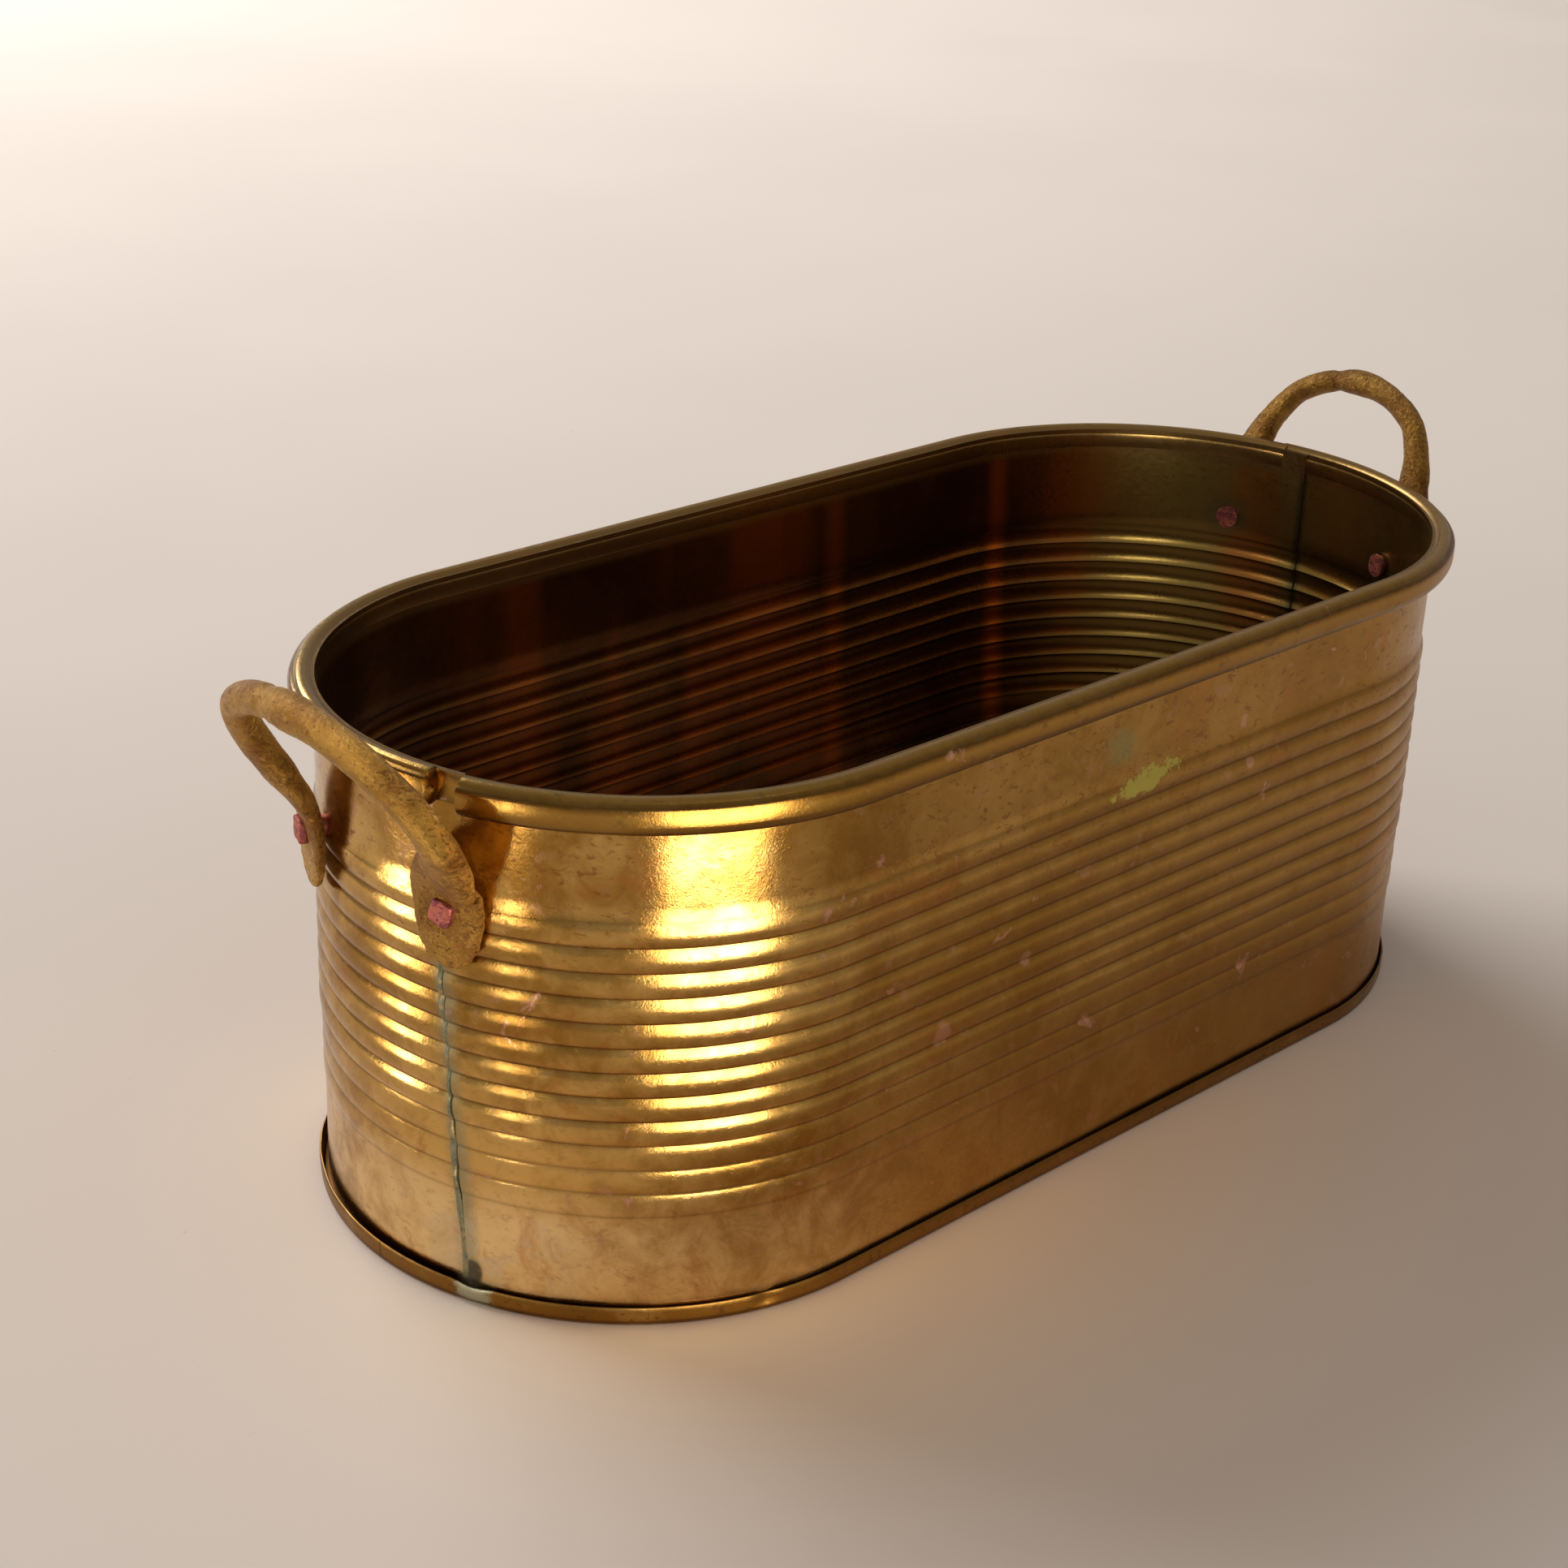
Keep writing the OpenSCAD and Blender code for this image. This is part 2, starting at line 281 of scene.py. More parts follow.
def wall_paint(bench, place):
    scene = bpy.context.scene
    hues, sizes = scene.pot_colours, scene.pot_sizes
    x, y, z = bench.parts(place)
    clouds = bench.grain(place, 0.022, 4, 0.55, 1)
    mottle = bench.grain(place, 0.11, 8, 0.68, 2, 0.8)
    fine = bench.grain(place, 0.9, 5, 0.6, 3)
    tarnish = bench.span(clouds * 0.55 + mottle * 0.45, 0.38, 0.62)
    colour = bench.blend(tarnish, hues.bright, hues.brown)
    # the long sides are painted browner than the near end: painted shade for their darker
    # reflections
    sides = bench.span(x, -105.0, -55.0) * 0.5 + bench.span(x, -40.0, 60.0) * 0.25
    colour = bench.blend(sides, colour, hues.brown)
    # painted highlight: paler brass low on the near end stands in for a bright reflection
    pale = bench.span(z, 30.0, 16.0) * bench.span(x, -50.0, -95.0)
    pale = pale * bench.span(clouds * 0.5 + mottle * 0.5, 0.36, 0.60, 0.75, 0.15)
    colour = bench.blend(pale, colour, (0.86, 0.64, 0.33))
    orange = bench.span(bench.grain(place, 0.05, 7, 0.7, 5, 1.2), 0.53, 0.66) * 0.55
    colour = bench.blend(orange, colour, (0.40, 0.155, 0.03))
    # painted shade: the valleys between the ribs are darkened
    colour = bench.blend(rib_valley_shade(bench, z, sizes) * 0.55, colour, (0.13, 0.055, 0.014))
    # small brown specks, thickest in a band above the ribs
    specks = speckle(bench, bench.scaled(place, 1, 1, 1.8), 2.2, 0.42, 6)
    colour = bench.blend(specks * bench.span(z, 60, 84, 0.25, 0.75), colour, (0.24, 0.10, 0.025))
    colour = bench.blend(speckle(bench, place, 5.0, 0.3, 7) * 0.5, colour, (0.45, 0.24, 0.12))
    # rolled edge: painted reflections and shade by height: pale top, dark line, brown bulge,
    # greenish line and dark foot
    rim = bench.span(z, 98.4, 98.9)
    worn = bench.grain(place, 0.35, 5, 0.65, 8)
    band = bench.make(
        "ShaderNodeValToRGB",
        {"stops": ((0.0, (0.07, 0.03, 0.006)), (0.16, (0.15, 0.09, 0.02)),
                   (0.3, (0.28, 0.14, 0.025)), (0.6, (0.36, 0.19, 0.035)),
                   (0.72, (0.24, 0.11, 0.02)), (0.80, (0.07, 0.03, 0.006)),
                   (0.9, (0.22, 0.12, 0.025)), (1.0, (0.36, 0.22, 0.06)))},
        {0: bench.span(z + worn * 0.9 - 0.45, 98.2, 105.0, way="LINEAR")})
    colour = bench.blend(rim * 0.8, colour, band)
    colour = bench.blend(rim * bench.span(worn, 0.55, 0.68) * 0.6, colour, (0.16, 0.10, 0.035))
    # green tarnish and pale tinning beside the near seam and round the foot of the wall
    lean = y + 16.5 + 0.064 * bench.sums("MAXIMUM", 70.0 - z, 0.0)
    near_end = bench.span(x, -118, -122)
    wander = (bench.grain(place, 0.12, 4, 0.6, 9) - 0.5) * 7
    seam = bench.near(lean + wander * 0.4, 0.0, 3.6) * near_end * bench.span(z, 72.0, 67.0)
    colour = bench.blend(seam * 0.6, colour, hues.verdigris)
    tinned = bench.span(bench.grain(place, 0.07, 6, 0.62, 10, 1.0) - z * 0.006, 0.42, 0.46)
    tinned = tinned * bench.near(lean, -2.0, 26.0) * near_end * bench.span(z, 26.0, 16.0)
    colour = bench.blend(tinned * 0.5, colour, (0.60, 0.50, 0.33))
    stain = bench.near(y + 21.6, 0.0, 3.0) * bench.near(z, 6.0, 4.0) * near_end
    colour = bench.blend(bench.span(stain, 0.1, 0.5) * 0.9, colour, (0.05, 0.045, 0.025))
    # a dried yellow-green flake and a few pinkish spots on the front
    front = bench.span(y, -50, -58)
    chip_x = bench.sums("ABSOLUTE", x - 2.5)
    chip_z = bench.sums("ABSOLUTE", z - 80.2 - (x - 2.5) * 0.12)
    chip = 1 - (chip_x / 12) ** 2 - (chip_z / 3.0) ** 2
    chip = bench.span(chip + (bench.grain(place, 0.38, 7, 0.78, 11) - 0.5) * 5.6, 0.40, 0.5) * front
    colour = bench.blend(chip, colour, (0.50, 0.41, 0.045))
    green = bench.near(x + 6, 0, 11) * bench.near(z, 89, 9) * front
    green = bench.span(green * bench.grain(place, 0.5, 5, 0.7, 12), 0.2, 0.5) * 0.55
    colour = bench.blend(green, colour, (0.24, 0.25, 0.10))
    for spot_x, spot_z, reach in ((32, 84.5, 3.0), (35, 74.5, 2.4), (-52, 44, 4.5), (-30, 52, 3.0)):
        spot = bench.near(x, spot_x, reach) * bench.near(z, spot_z, reach) * front
        spot = bench.span(spot + (mottle - 0.5) * 3.0, 0.35, 0.7)
        colour = bench.blend(spot * 0.5, colour, (0.62, 0.33, 0.22))
    # painted shade: a dark line along the foot of the wall, just above the base lip
    painted_foot_shade = bench.span(z, 5.5, 3.0) * 0.7
    colour = bench.blend(painted_foot_shade, colour, (0.045, 0.03, 0.015))
    dull = bench.sums("MAXIMUM", seam * 0.8, chip)
    rough = bench.span(z, 84.0, 78.0, 0.08, 0.14) + tarnish * 0.07 + (fine - 0.5) * 0.10
    rough = rough + specks * 0.08 + dull * 0.3 + sides * 0.24
    height = fine * 0.5 + bench.grain(place, 3.2, 3, 0.6, 13) * 0.45 - specks * 0.1 + chip
    return {"colour": colour, "rough": rough + rim * 0.08, "metal": 1 - dull * 0.8,
            "height": height, "relief": 0.30}


def inner_paint(bench, place):
    scene = bpy.context.scene
    hues, sizes = scene.pot_colours, scene.pot_sizes
    x, y, z = bench.parts(place)
    clouds = bench.grain(place, 0.03, 6, 0.65, 21, 0.8)
    fine = bench.grain(place, 0.8, 5, 0.6, 22)
    colour = bench.blend(bench.span(clouds, 0.36, 0.64), hues.inner, (0.085, 0.035, 0.010))
    # painted highlight: the far end of the inside is painted lighter and yellower
    far = bench.span(x, 92.0, 125.0)
    colour = bench.blend(far * 0.85, colour, (0.34, 0.235, 0.065))
    # painted shade: the valleys between the ribs are darkened inside as well
    colour = bench.blend(rib_valley_shade(bench, z, sizes) * 0.3, colour, (0.05, 0.02, 0.006))
    # painted reflections: red streaks and two leaning red lines on the inside wall
    red_reflection_streaks = bench.grain(bench.scaled(place, 0.045, 0.045, 0.009), 1.0, 2, 0.5, 23)
    colour = bench.blend(bench.span(red_reflection_streaks, 0.5, 0.68) * 0.55, colour, (0.42, 0.115, 0.02))
    for line_x, reach, share in ((89.0, 4.0, 0.75), (36.0, 5.0, 0.45)):
        red_reflection_line = bench.near(x + (z - 70.0) * 0.05, line_x, reach) * bench.span(y, 20.0, 40.0)
        colour = bench.blend(red_reflection_line * share, colour, (0.55, 0.14, 0.015))
    seam = bench.sums("ABSOLUTE", y - 3.2)
    seam = bench.span(seam + fine * 1.2, 0.9, 2.2, 1.0, 0.0) * bench.span(x, 120, 130)
    colour = bench.blend(seam * 0.8, colour, (0.09, 0.10, 0.05))
    for rivet in RIVETS:
        core = middle(rivet)
        head = tuple((core - outward(core) * (4.5 * MM)) / MM)
        away = bench.vectors("DISTANCE", place, head, out="Value")
        halo = bench.span(away + fine * 1.5, 3.4, 8.5, 1.0, 0.0)
        colour = bench.blend(halo * 0.6, colour, (0.17, 0.17, 0.075))
    top = bench.span(z, 97.5, 99.5)
    colour = bench.blend(top * 0.85, colour, (0.30, 0.18, 0.06))
    rough = 0.22 + clouds * 0.14 + (fine - 0.5) * 0.1
    return {"colour": colour, "rough": rough, "height": fine, "relief": 0.22}


def pan_paint(bench, place):
    hues = bpy.context.scene.pot_colours
    x, y, z = bench.parts(place)
    clouds = bench.grain(place, 0.045, 7, 0.66, 31, 0.8)
    fine = bench.grain(place, 0.9, 5, 0.6, 32)
    colour = bench.blend(bench.span(clouds, 0.26, 0.50), hues.bright, hues.brown)
    colour = bench.blend(0.45, colour, (0.17, 0.075, 0.016))
    edge = bench.span(z + fine * 1.2, 2.9, 4.2)
    colour = bench.blend(edge * 0.5, colour, (0.10, 0.06, 0.02))
    colour = bench.blend(speckle(bench, place, 1.6, 0.4, 33) * 0.6, colour, (0.10, 0.05, 0.02))
    blob = bench.near(y + 22.5, 0.0, 6.5) * bench.span(x, -120, -128)
    colour = bench.blend(bench.span(blob + (fine - 0.5), 0.3, 0.7) * 0.8, colour,
                         (0.42, 0.42, 0.30))
    inside = bench.span(z, 0.45, 0.65) * bench.span(z, 1.2, 0.8)
    colour = bench.blend(inside * 0.8, colour, hues.inner)
    return {"colour": colour, "rough": 0.30 + clouds * 0.16, "height": fine + clouds,
            "relief": 0.35}


def casting_paint(bench, place):
    hues = bpy.context.scene.pot_colours
    z = bench.parts(place)[2]
    clouds = bench.grain(place, 0.10, 6, 0.62, 41, 0.6)
    skin = bench.grain(place, 0.9, 7, 0.66, 42)
    pits = bench.span(bench.grain(place, 1.5, 6, 0.62, 43, 0.4), 0.56, 0.66)
    foot = bench.span(z, 98.0, 84.0)
    colour = bench.blend(bench.span(clouds, 0.36, 0.64), hues.casting, (0.19, 0.080, 0.016))
    colour = bench.blend(bench.span(skin, 0.52, 0.68) * 0.4, colour, (0.55, 0.32, 0.08))
    colour = bench.blend(pits * (0.55 + foot * 0.3), colour, (0.075, 0.033, 0.010))
    scratch = bench.grain(bench.scaled(place, 0.5, 0.5, 5.0), 0.5, 3, 0.5, 44)
    scratch = bench.span(scratch, 0.64, 0.68) * foot
    colour = bench.blend(scratch * 0.6, colour, (0.12, 0.055, 0.02))
    rough = 0.30 + clouds * 0.1 + pits * 0.25 + foot * 0.05
    height = skin * 1.6 - pits * 1.1 - scratch * 0.5
    return {"colour": colour, "rough": rough, "height": height, "relief": 1.0,
            "depth": 0.0008}


def copper_paint(bench, place):
    hues = bpy.context.scene.pot_colours
    clouds = bench.grain(place, 0.5, 6, 0.65, 51, 0.8)
    fine = bench.grain(place, 2.6, 4, 0.6, 52)
    colour = bench.blend(bench.span(clouds, 0.42, 0.62), hues.copper, (0.17, 0.045, 0.055))
    colour = bench.blend(bench.span(fine, 0.55, 0.7) * 0.35, colour, (0.66, 0.34, 0.27))
    return {"colour": colour, "rough": 0.42 + fine * 0.2, "height": fine + clouds,
            "relief": 0.8}


def solder_paint(bench, place):
    hues = bpy.context.scene.pot_colours
    clouds = bench.grain(place, 0.22, 7, 0.68, 61, 1.0)
    fine = bench.grain(place, 1.4, 5, 0.62, 62)
    colour = bench.blend(bench.span(clouds, 0.40, 0.60), hues.verdigris, (0.33, 0.24, 0.11))
    colour = bench.blend(bench.span(fine, 0.52, 0.66) * 0.7, colour, (0.06, 0.055, 0.03))
    metal = bench.span(clouds, 0.45, 0.6, 0.25, 0.85)
    return {"colour": colour, "rough": 0.40 + fine * 0.25, "metal": metal,
            "height": fine + clouds, "relief": 0.8}


def floor_paint(bench, place):
    hues = bpy.context.scene.pot_colours
    broad = bench.grain(place, 0.004, 3, 0.5, 71)
    fine = bench.grain(place, 0.8, 3, 0.5, 72)
    tint = tuple(c * 0.97 for c in hues.floor)
    colour = bench.blend(bench.span(broad, 0.35, 0.65), hues.floor, tint)
    colour = bench.blend(speckle(bench, place, 3.0, 0.05, 73) * 0.25, colour, (0.36, 0.30, 0.26))
    return {"colour": colour, "rough": 0.62 + fine * 0.1, "metal": 0.0, "height": fine,
            "relief": 0.06, "gloss": 0.0}


PAINTS = {
    "aged_brass": wall_paint, "dark_brass": inner_paint, "worn_pan_skin": pan_paint,
    "pitted_skin": casting_paint, "rivet_copper": copper_paint, "tarnished_solder": solder_paint,
    "pale_floor": floor_paint,
}


def finish_of(name):
    return bpy.data.materials.get(name) or finish(name, PAINTS[name])


# ---------- node trees for shapes ----------


def new_tree(name, inputs):
    """A geometry tree with named inputs: (bench, {input name: Value}, function that ends it)."""
    tree = bpy.data.node_groups.new(name, "GeometryNodeTree")
    tree.interface.new_socket(name="Geometry", in_out="INPUT", socket_type="NodeSocketGeometry")
    tree.interface.new_socket(name="Geometry", in_out="OUTPUT", socket_type="NodeSocketGeometry")
    for label, kind in inputs:
        tree.interface.new_socket(name=label, in_out="INPUT", socket_type="NodeSocket" + kind)
    bench = Bench(tree)
    start = tree.nodes.new("NodeGroupInput")
    given = {s.name: Value(bench, s) for s in start.outputs if s.name}

    def end(geometry, merge=True):
        if merge:
            geometry = bench.make(
                "GeometryNodeMergeByDistance", None, {"Geometry": geometry, "Distance": 2e-6})
        geometry = bench.make("GeometryNodeSetShadeSmooth", None, {"Geometry": geometry})
        geometry = bench.make("GeometryNodeRealizeInstances", None, {"Geometry": geometry})
        geometry = bench.make(
            "GeometryNodeSetMaterial", None, {"Geometry": geometry, "Material": given["Finish"]})
        last = tree.nodes.new("NodeGroupOutput")
        tree.links.new(geometry.socket, last.inputs[0])
        return tree

    return bench, given, end


def grid_and_places(bench, rows, columns):
    """A grid of rows times columns points, and each point's row and column."""
    grid = bench.make(
        "GeometryNodeMeshGrid", None,
        {"Size X": 1.0, "Size Y": 1.0, "Vertices X": rows, "Vertices Y": columns})
    index = bench.make("GeometryNodeInputIndex")
    row = bench.sums("FLOOR", (index + 0.5) / columns)
    return grid, row, index - row * columns


def sampled(bench, geometry, what, index, kind="FLOAT_VECTOR"):
    return bench.make(
        "GeometryNodeSampleIndex", {"data_type": kind, "domain": "POINT", "clamp": True},
        {"Geometry": geometry, "Value": what, "Index": index}, "Value")


def run_tree():
    """Sweeps an outline's points round the oblong. A point is (out from the wall, height, sway)."""
    bench, given, end = new_tree("run_round_the_oblong", (
        ("Half straight", "Float"), ("End radius", "Float"), ("From", "Float"), ("To", "Float"),
        ("Steps", "Int"), ("Side", "Float"), ("Dents", "Float"), ("Sway", "Float"),
        ("Round start", "Float"), ("Round end", "Float"), ("Middle", "Vector"),
        ("Flat ends", "Float"), ("Start lean", "Float"), ("Lean from", "Float"),
        ("Finish", "Material")))
    outline = given["Geometry"]
    count = bench.make(
        "GeometryNodeAttributeDomainSize", {"component": "MESH"}, {"Geometry": outline})
    steps = given["Steps"]
    grid, row, column = grid_and_places(bench, steps, count)
    position = bench.make("GeometryNodeInputPosition")
    out, height, sway = bench.parts(sampled(bench, outline, position, column))
    # the first and last rows stand almost on their neighbours, so an end is square
    share = bench.span(row, 0.95, steps - 1.95, way="LINEAR")
    start = given["From"] + (given["Lean from"] - height) * given["Start lean"]
    length = given["To"] - start
    along = start + length * share
    # the ends of a rolled edge close in a dome
    closing = 1.0
    for name, gone in (("Round start", length * share), ("Round end", length * (1 - share))):
        open_ = bench.span(gone / (given[name] + 1e-7), 0.0, 1.0, way="LINEAR")
        closing = closing * bench.sums("SQRT", bench.sums("MAXIMUM", 1 - (1 - open_) ** 2, 0.0))
    # the flat ends of a sheet close on its middle, which sway gives
    flat = given["Flat ends"]
    last = bench.span(share * (1 - share), 0.0, 1e-9, 1.0, 0.0, way="LINEAR")
    out = out + sway * last * flat
    closing = closing + flat * (1 - closing)
    mid_out, mid_height, _ = bench.parts(given["Middle"])
    out = mid_out + (out - mid_out) * closing
    height = mid_height + (height - mid_height) * closing
    far = bench.sums("ABSOLUTE", along)
    past = bench.sums("MAXIMUM", far - given["Half straight"], 0.0)
    turn = past / given["End radius"]
    sine, cosine = bench.sums("SINE", turn), bench.sums("COSINE", turn)
    sign = bench.sums("SIGN", along)
    straight = bench.sums("MINIMUM", far, given["Half straight"])

    def place(reach, level):
        x = sign * (straight + reach * sine)
        return bench.vector(x, reach * cosine * given["Side"], level)

    reach = given["End radius"] + out
    rest = place(given["End radius"], height)
    slow = bench.grain(rest, 16.0, 2.0, 0.5, 3.0) - 0.5
    quick = bench.grain(rest, 70.0, 2.0, 0.5, 4.0) - 0.5
    reach = reach + (slow * 2.0 + quick * 0.5) * given["Dents"]
    wander = bench.grain(place(given["End radius"], 0.0), 42.0, 3.0, 0.6, 9.0) - 0.5
    reach = reach + wander * sway * given["Sway"] * 2.0
    height = height + wander * sway * given["Sway"] * 1.4
    swept = bench.make(
        "GeometryNodeSetPosition", None, {"Geometry": grid, "Position": place(reach, height)})
    return end(swept)


def bar_tree():
    """Sweeps a section of changing width, thickness and squareness along a path of points."""
    bench, given, end = new_tree("forge_along_a_path", (
        ("Section points", "Int"), ("Pitting", "Float"), ("Pit scale", "Float"),
        ("Finish", "Material")))
    path = given["Geometry"]
    count = bench.make(
        "GeometryNodeAttributeDomainSize", {"component": "MESH"}, {"Geometry": path})
    points = given["Section points"]
    grid, row, column = grid_and_places(bench, count, points)

    def named(name, kind="FLOAT_VECTOR"):
        field = bench.make(
            "GeometryNodeInputNamedAttribute", {"data_type": kind}, {"Name": name}, "Attribute")
        return sampled(bench, path, field, row, kind)

    centre = sampled(bench, path, bench.make("GeometryNodeInputPosition"), row)
    angle = column / (points - 1) * math.tau
    square = named("square", "FLOAT")

    def squared(value):
        bent = bench.sums("ABSOLUTE", value) ** square
        return bent * bench.sums("SIGN", value)

    wide = squared(bench.sums("COSINE", angle)) * named("half_wide", "FLOAT")
    thick = squared(bench.sums("SINE", angle)) * named("half_thick", "FLOAT")

    def added(first, second):
        return bench.vectors("ADD", first, second)

    def times(vector, number):
        return bench.make(
            "ShaderNodeVectorMath", {"operation": "SCALE"}, {0: vector, "Scale": number})

    arm = added(times(named("side"), wide), times(named("out"), thick))
    spot = added(centre, arm)
    rough = bench.grain(spot, given["Pit scale"], 4.0, 0.6, 5.0) - 0.5
    broad = bench.grain(spot, 110.0, 2.0, 0.5, 6.0) - 0.5
    push = (rough * named("rough", "FLOAT") + broad * 1.6) * given["Pitting"] * 2.0
    away = bench.vectors("NORMALIZE", arm)
    swept = bench.make(
        "GeometryNodeSetPosition", None,
        {"Geometry": grid, "Position": added(spot, times(away, push))})
    return end(swept)


def rivet_tree():
    """Sets a rough rivet at each point, its axis turned by the point's own angles."""
    bench, given, end = new_tree("set_rivets", (
        ("Shank diameter", "Float"), ("Stub side", "Float"), ("Stub height", "Float"),
        ("Inner reach", "Float"), ("Outer reach", "Float"), ("Roughness", "Float"),
        ("Finish", "Material")))
    side, tall = given["Stub side"], given["Stub height"]
    stub = bench.make(
        "GeometryNodeMeshCube", None,
        {"Size": bench.vector(side, side * 0.94, tall), "Vertices X": 4, "Vertices Y": 4,
         "Vertices Z": 4})
    stub = bench.make("GeometryNodeSubdivisionSurface", None, {"Mesh": stub, "Level": 2})

    def lifted(geometry, level):
        return bench.make(
            "GeometryNodeTransform", None,
            {"Geometry": geometry, "Translation": bench.vector(0.0, 0.0, level)})

    def drum(radius, depth):
        return bench.make(
            "GeometryNodeMeshCylinder", None,
            {"Vertices": 28, "Side Segments": 3, "Fill Segments": 3, "Radius": radius,
             "Depth": depth})

    inner, outer = given["Inner reach"], given["Outer reach"]
    parts = [
        lifted(stub, outer + tall * 0.45),
        lifted(drum(given["Shank diameter"] / 2, outer + inner), (outer - inner) / 2),
        lifted(drum(given["Shank diameter"] * 0.6, 0.0007), 0.00035 - inner - 0.0007)]
    join = bench.tree.nodes.new("GeometryNodeJoinGeometry")
    for part in parts:
        bench.tree.links.new(part.socket, join.inputs[0])
    turn = bench.make(
        "GeometryNodeInputNamedAttribute", {"data_type": "FLOAT_VECTOR"}, {"Name": "turn"},
        "Attribute")
    points = bench.make("GeometryNodeMeshToPoints", None, {"Mesh": given["Geometry"]})
    set_ = bench.make(
        "GeometryNodeInstanceOnPoints", None,
        {"Points": points, "Instance": Value(bench, join.outputs[0]), "Rotation": turn})
    set_ = bench.make("GeometryNodeRealizeInstances", None, {"Geometry": set_})
    position = bench.make("GeometryNodeInputPosition")
    jitter = bench.grain(position, 420.0, 3.0, 0.6, 7.0, out="Color")
    jitter = bench.vectors("SUBTRACT", jitter, (0.5, 0.5, 0.5))
    jitter = bench.make(
        "ShaderNodeVectorMath", {"operation": "SCALE"},
        {0: jitter, "Scale": given["Roughness"]})
    set_ = bench.make("GeometryNodeSetPosition", None, {"Geometry": set_, "Offset": jitter})
    return end(set_, merge=False)


def grow(tree, points, settings, rows=None):
    """The plain mesh that a tree makes from points that carry rows of named values."""
    seed_mesh = bpy.data.meshes.new("seed")
    seed_mesh.from_pydata([tuple(p) for p in points], [], [])
    for name, values in (rows or {}).items():
        vector = not isinstance(values[0], (int, float))
        layer = seed_mesh.attributes.new(name, "FLOAT_VECTOR" if vector else "FLOAT", "POINT")
        for item, value in zip(layer.data, values):
            if vector:
                item.vector = value
            else:
                item.value = value
    seed = bpy.data.objects.new("seed", seed_mesh)
    bpy.context.scene.collection.objects.link(seed)
    modifier = seed.modifiers.new("grow", "NODES")
    modifier.node_group = tree
    for item in tree.interface.items_tree:
        if item.in_out == "INPUT" and item.name in settings:
            modifier[item.identifier] = settings[item.name]
    graph = bpy.context.evaluated_depsgraph_get()
    mesh = bpy.data.meshes.new_from_object(seed.evaluated_get(graph), depsgraph=graph)
    bpy.data.objects.remove(seed)
    bpy.data.meshes.remove(seed_mesh)
    return mesh


def tree_of(maker):
    name = {run_tree: "run_round_the_oblong", bar_tree: "forge_along_a_path",
            rivet_tree: "set_rivets"}[maker]
    return bpy.data.node_groups.get(name) or maker()


def piece(name, meshes, finishes, nodes, closed=True, sharp=40.0):
    """Joins meshes into one piece that stands for nodes. Open ends are filled."""
    whole = bmesh.new()
    for mesh in meshes:
        whole.from_mesh(mesh)
        bpy.data.meshes.remove(mesh)
    if closed:
        rims = [e for e in whole.edges if e.is_boundary]
        if rims:
            bmesh.ops.holes_fill(whole, edges=rims)
        bmesh.ops.recalc_face_normals(whole, faces=whole.faces)
    for face in whole.faces:
        face.smooth = True
        face.material_index = 0
    result = bpy.data.meshes.new(name)
    whole.to_mesh(result)
    whole.free()
    result.materials.clear()
    for each in finishes:
        result.materials.append(finish_of(each))
    result.set_sharp_from_angle(angle=math.radians(sharp))
    made = bpy.data.objects.new(name, result)
    bpy.context.scene.collection.objects.link(made)
    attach(made, BODY)
    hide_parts(*nodes)
    if not result.polygons:
        raise RuntimeError(f"{name} came out empty")
    return made


# ---------- wall ----------


def rib_offset(z, sizes):
    foot = sizes.rib_top - sizes.rib_count * sizes.rib_pitch
    place = (z - foot) / sizes.rib_pitch
    if place <= 0 or place >= sizes.rib_count:
        return 0.0
    rib = int(place)
    across = 2 * (place - rib) - 1
    rise = sizes.low_rise if rib < LOW_RIBS else sizes.rib_rise
    return rise * (1 - abs(across) ** 2.4)


def sheet_outline(sizes, low, high, off):
    """Closed outline of a sheet whose plain outer face is at off."""
    foot = sizes.rib_top - sizes.rib_count * sizes.rib_pitch
    levels = [low + (foot - low) * k / 8 for k in range(8)]
    fine = sizes.rib_count * 12
    levels += [foot + (sizes.rib_top - foot) * k / fine for k in range(fine)]
    levels += [sizes.rib_top + (high - sizes.rib_top) * k / 8 for k in range(9)]
    outer = [(off + rib_offset(z, sizes), z, -SHEET / 2) for z in levels]
    inner = [(off - SHEET + rib_offset(z, sizes), z, SHEET / 2) for z in reversed(levels)]
    return outer + inner + outer[:1]


def rolled_outline(off):
    """Closed outline of the rolled edge: a flat-sided oval with a ridge along its top."""
    points = []
    half, low, high = BEAD_HALF, RIM_TOP - 4.4 * MM, RIM_TOP - BEAD_HALF
    centre = off - SHEET + half
    for k in range(41):
        turn = math.tau * k / 40 - QUARTER
        level = high if math.sin(turn) > 0 else low
        reach = half
        # a shallow hollow runs between the ridge on top and the bulge outside
        reach -= 0.32 * MM * math.exp(-((turn - math.radians(48)) / 0.2) ** 2)
        reach += 0.12 * MM * math.exp(-((turn - math.radians(8)) / 0.35) ** 2)
        x, z = centre + reach * math.cos(turn), level + reach * math.sin(turn)
        if math.cos(turn) < 0:
            x -= 0.1 * MM
        points.append((x, z, 0.0))
    points[-1] = points[0]
    return points


def at_angle(angle):
    """How far along the run an angle lies past the middle of a long side."""
    return STRAIGHT + ROUND * (QUARTER + angle)


def run(outline, start, end, step, side, finish_name, **more):
    settings = {
        "Half straight": STRAIGHT, "End radius": ROUND, "From": start, "To": end,
        "Steps": max(3, int((end - start) / step) + 1), "Side": side, "Dents": 0.0, "Sway": 0.0,
        "Round start": 0.0, "Round end": 0.0, "Middle": (0.0, 0.0, 0.0), "Flat ends": 0.0,
        "Start lean": 0.0, "Lean from": 0.0, "Finish": finish_of(finish_name)}
    settings.update(more)
    return grow(tree_of(run_tree), outline, settings)


def face_inside(made):
    """Gives the faces that look into the pot the second finish."""
    for face in made.data.polygons:
        if face.normal.dot(outward(face.center)) < -0.3:
            face.material_index = 1


